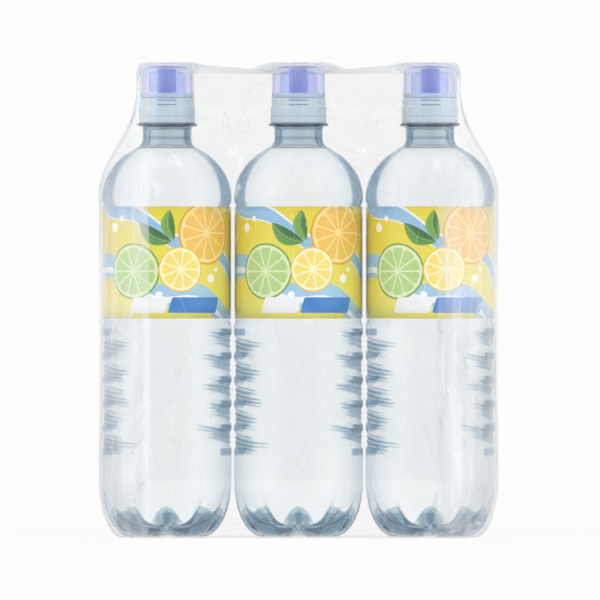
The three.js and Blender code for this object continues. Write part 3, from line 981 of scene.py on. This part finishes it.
def cover_outline():
    return softened([
        (0, COVER_HIGH - COVER_WALL),
        (COVER_R - COVER_WALL, COVER_HIGH - COVER_WALL, 5.0),
        (COVER_LOW_R - COVER_WALL, 241.7, 0.2),
        (COVER_LOW_R, 241.7, 0.3),
        (COVER_R, COVER_HIGH, 5.6),
        (0, COVER_HIGH),
    ], 12)


def cover_finish():
    finish, n = blank_material("clear_lavender")
    # Painted shade: the cover turns grey violet where it is seen edge-on, over its faint lavender tint.
    colour = n.blend(n.facing().rise(0.6, 0.95), linear(234, 237, 251), linear(158, 160, 198))
    dome = n.node("ShaderNodeBsdfPrincipled", None, {
        "Base Color": colour, "Roughness": 0.02, "IOR": 1.35, "Transmission Weight": 1.0,
    })
    skirt = n.node("ShaderNodeBsdfPrincipled", None, {
        "Base Color": linear(218, 236, 250), "Roughness": 0.15, "IOR": 1.35, "Transmission Weight": 0.3,
    })
    milky = (1 - local_place(n)[2].rise(*COVER_SKIRT)) * SKIRT_MILK
    both = n.mix(milky, dome, skirt)
    n.node("ShaderNodeOutputMaterial", None, {"Surface": both})
    return finish


one_each("dust_cover", "dust_cover", "cover_plastic", *turned(cover_outline(), SIDES), cover_finish())

# The film: a clear polyethylene sleeve, slipped over all six bottles and shrunk round them by heat. It
# is drawn in over the shoulders, dips between the caps, and leaves an open eye at each end.
FILM_WALL = 0.3
FILM_REACH = 37.6  # from the outer bottles' axes to the film
FILM_WAIST = 0.5  # how much closer it is halfway up
FILM_FRONT_TRIM = 0.4  # and in front and behind
FILM_CAP_REACH = 16.8
FILM_FLAT_REACH = 12.6
FILM_FOOT_REACH = 25
FILM_TUCK_Z = 34  # where it starts to turn in under the feet
FILM_FLARE_LOW = 190
FILM_FLARE_HIGH = 256
FILM_FLARE_POWER = 3.2
FILM_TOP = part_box("film")[1].z / MM
FILM_SAG = 5.5
TOP_INSET = 11
TOP_ROUND = 3.5
FILM_VEIL = 0.012  # how milky the film is everywhere
SHEEN_LEFT = -81  # beyond these, round the end bottles, a pale streaked veil is a painted reflection of the side soft boxes in the film
SHEEN_RIGHT = 75
SHEEN_FADE = 2.5
SHEEN_HIGH = (188, 212)
SHEEN_VEIL = 0.2
BLOB_VEIL = 0.16  # of milky patches, where the film is loose in front
BLOB_LOW = (150, 170)
BLOB_HIGH = (205, 225)
BLOB_BACK = (-20, 0)
CREASE_VEIL = 0.2
CREASE_WIDE = 0.012
EYE_ROLL = 1.045  # how far out the rolled rim of an eye reaches, in its own radii
EYE_PUCKER = 1.5  # and the puckers round it
ROLL_VEIL = 0.3
PUCKER_VEIL = 0.12
EYE_HALF_WIDTH = 37
EYE_LOW = 42
EYE_HIGH = 172


def film_levels():
    """The film's reach from the outer axes at each level, from the ground to the caps."""
    levels = []
    for turn in np.radians(np.linspace(90, 0, 15)):
        levels.append((FILM_FOOT_REACH + (FILM_REACH - FILM_FOOT_REACH) * math.cos(turn),
                       FILM_TUCK_Z * (1 - math.sin(turn))))
    for t in np.linspace(0, 1, 52)[1:-1]:
        levels.append((FILM_REACH - FILM_WAIST * math.sin(math.pi * t),
                       FILM_TUCK_Z + (FILM_FLARE_LOW - FILM_TUCK_Z) * t))
    for t in np.linspace(0, 1, 34):
        inward = max(0.0, math.cos(t * math.pi / 2)) ** FILM_FLARE_POWER
        levels.append((FILM_CAP_REACH + (FILM_REACH - FILM_CAP_REACH) * inward,
                       FILM_FLARE_LOW + (FILM_FLARE_HIGH - FILM_FLARE_LOW) * t))
    for turn in np.radians(np.linspace(0, 90, 7)):
        levels.append((FILM_FLAT_REACH + TOP_ROUND * math.cos(turn),
                       FILM_TOP - TOP_ROUND * (1 - math.sin(turn))))
    levels += [(reach, FILM_TOP) for reach in (9, 4.5, 0, -4, -8, -TOP_INSET)]
    return levels


def film_stations():
    """Where a level runs, once round: (x, y, outward x, outward y) at the bottles' outer axes."""
    side = [(x, -PITCH / 2, 0, -1) for x in np.linspace(-PITCH, PITCH, 65)[1:-1]]
    corner = [(PITCH, -PITCH / 2, math.sin(a), -math.cos(a)) for a in np.radians(np.linspace(0, 90, 15))]
    end = [(PITCH, y, 1, 0) for y in np.linspace(-PITCH / 2, PITCH / 2, 33)[1:-1]]
    half = side + corner + end + [(x, -y, nx, -ny) for x, y, nx, ny in corner[::-1]]
    return half + [(-x, -y, -nx, -ny) for x, y, nx, ny in half]


def sag(x, y, z):
    """How far the film dips between the caps."""
    in_x = min(PITCH, abs(x))
    in_y = min(PITCH / 2, abs(y))
    from_axis = math.hypot(min(in_x, PITCH - in_x), PITCH / 2 - in_y)
    between = (from_axis - FILM_FLAT_REACH) / (PITCH / 2 - FILM_FLAT_REACH)
    high = (z - FILM_FLARE_LOW) / (FILM_FLARE_HIGH - FILM_FLARE_LOW)
    return FILM_SAG * float(smooth(between)) * float(smooth(high))


def film_face():
    stations = film_stations()
    levels = film_levels()
    points = []
    for reach, z in levels:
        front_reach = reach - FILM_FRONT_TRIM if reach > FILM_CAP_REACH else reach
        limit_x = PITCH + min(0, reach)
        limit_y = PITCH / 2 + min(0, reach)
        for x, y, nx, ny in stations:
            px = max(-limit_x, min(limit_x, x)) + nx * max(0, reach)
            py = max(-limit_y, min(limit_y, y)) + ny * max(0, front_reach)
            points.append((px, py, z - sag(px, py, z)))
    count = len(stations)
    loops = [[len(points)]] + rings_of(0, len(levels), count) + [[len(points) + 1]]
    points += [(0.0, 0.0, 0.0), (0.0, 0.0, FILM_TOP - FILM_SAG)]
    return points, skin(loops, count)


def film_finish():
    finish, n = blank_material("shrink_film")
    x, y, z = n.split(n.place())
    x, y, z = x / MM, y / MM, z / MM

    def clouds(up, scale, detail=2.0):
        return n.noise(n.node("ShaderNodeCombineXYZ", None, {0: x, 1: y, 2: z * up}), scale, detail)

    streaks = clouds(0.12, 0.16)
    tight = clouds(0.3, 0.07, 1.0)
    crease = 1 - abs(tight - 0.5).rise(0.0, CREASE_WIDE)
    # The veil round the end bottles is a painted reflection: a pale band standing in for the side soft
    # boxes shining in the film.
    sheen_band = (-x).rise(-SHEEN_LEFT, SHEEN_FADE - SHEEN_LEFT)
    sheen_band = sheen_band.math("MAXIMUM", x.rise(SHEEN_RIGHT, SHEEN_RIGHT + SHEEN_FADE)) * (1 - z.rise(*SHEEN_HIGH))
    veil = sheen_band * (streaks.rise(0.35, 0.65) * 0.6 + 0.4) * SHEEN_VEIL
    blobs = clouds(0.6, 0.11).rise(0.68, 0.74) * z.rise(*BLOB_LOW) * (1 - z.rise(*BLOB_HIGH))
    blobs = blobs * (1 - y.rise(*BLOB_BACK)) * BLOB_VEIL
    lines = crease * streaks.rise(0.42, 0.6) * (sheen_band * 0.7 + 0.3) * CREASE_VEIL
    eye_y, eye_z = y / EYE_HALF_WIDTH, (z - (EYE_LOW + EYE_HIGH) / 2) / ((EYE_HIGH - EYE_LOW) / 2)
    from_eye = eye_y.distance(eye_z)
    at_end = abs(x).rise(PITCH, PITCH + 6)
    heading = {0: eye_y / from_eye, 1: eye_z / from_eye, 2: from_eye * 0.3}
    pulled = n.noise(n.node("ShaderNodeCombineXYZ", None, heading), 5.0)
    puckers = (1 - abs(pulled - 0.5).rise(0.0, 0.05)) * (1 - from_eye.rise(1.0, EYE_PUCKER)) * at_end
    rolled = (1 - from_eye.rise(1.0, EYE_ROLL)) * at_end
    haze = veil.math("MAXIMUM", blobs) + lines + FILM_VEIL + puckers * PUCKER_VEIL + rolled * ROLL_VEIL
    facing = n.facing()
    clear = n.node("ShaderNodeBsdfTransparent", None, {"Color": linear(254, 254, 254)})
    edge_on = n.node("ShaderNodeBsdfTransparent", None, {"Color": linear(226, 230, 234)})
    milky = n.node("ShaderNodeBsdfDiffuse", None, {"Color": linear(248, 249, 251)})
    through = n.mix(facing ** 4 * 0.3, clear, edge_on)
    soft = n.mix(haze, through, milky)
    bent = n.node("ShaderNodeBump", None, {"Strength": 0.15, "Distance": 0.002,
                                           "Height": streaks + puckers * 0.2})
    gloss = n.node("ShaderNodeBsdfGlossy", None, {"Color": (1, 1, 1, 1), "Roughness": 0.06, "Normal": bent})
    both = n.mix(facing ** 4 * 0.3 + 0.027, soft, gloss)
    n.node("ShaderNodeOutputMaterial", None, {"Surface": both})
    return finish


def shrink_film():
    points, faces = film_face()
    piece = mesh_piece("shrink_film", points, faces, film_finish())
    cut = bmesh.new()
    cut.from_mesh(piece.data)
    middle = (EYE_LOW + EYE_HIGH) / 2 * MM
    high = (EYE_HIGH - EYE_LOW) / 2 * MM
    wide = EYE_HALF_WIDTH * MM

    def from_eye(place):
        return math.hypot(place.y / wide, (place.z - middle) / high)

    rim = []
    for edge in list(cut.edges):
        first, second = edge.verts
        inside = from_eye(first.co) - 1, from_eye(second.co) - 1
        if abs(first.co.x) > PITCH * MM and inside[0] * inside[1] < 0:
            near, far = 0.0, 1.0
            for _ in range(12):
                half = (near + far) / 2
                if (from_eye(first.co.lerp(second.co, half)) - 1) * inside[0] > 0:
                    near = half
                else:
                    far = half
            rim.append(bmesh.utils.edge_split(edge, first, near)[1])
    bmesh.ops.connect_verts(cut, verts=rim)
    hole = [face for face in cut.faces if abs(face.calc_center_median().x) > PITCH * MM
            and from_eye(face.calc_center_median()) < 1]
    bmesh.ops.delete(cut, geom=hole, context="FACES")
    cut.to_mesh(piece.data)
    cut.free()
    piece.data.polygons.foreach_set("use_smooth", [True] * len(piece.data.polygons))
    wall = piece.modifiers.new("wall", "SOLIDIFY")
    wall.thickness = FILM_WALL * MM
    wall.offset = -1
    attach(piece, "root")
    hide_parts("film")


shrink_film()
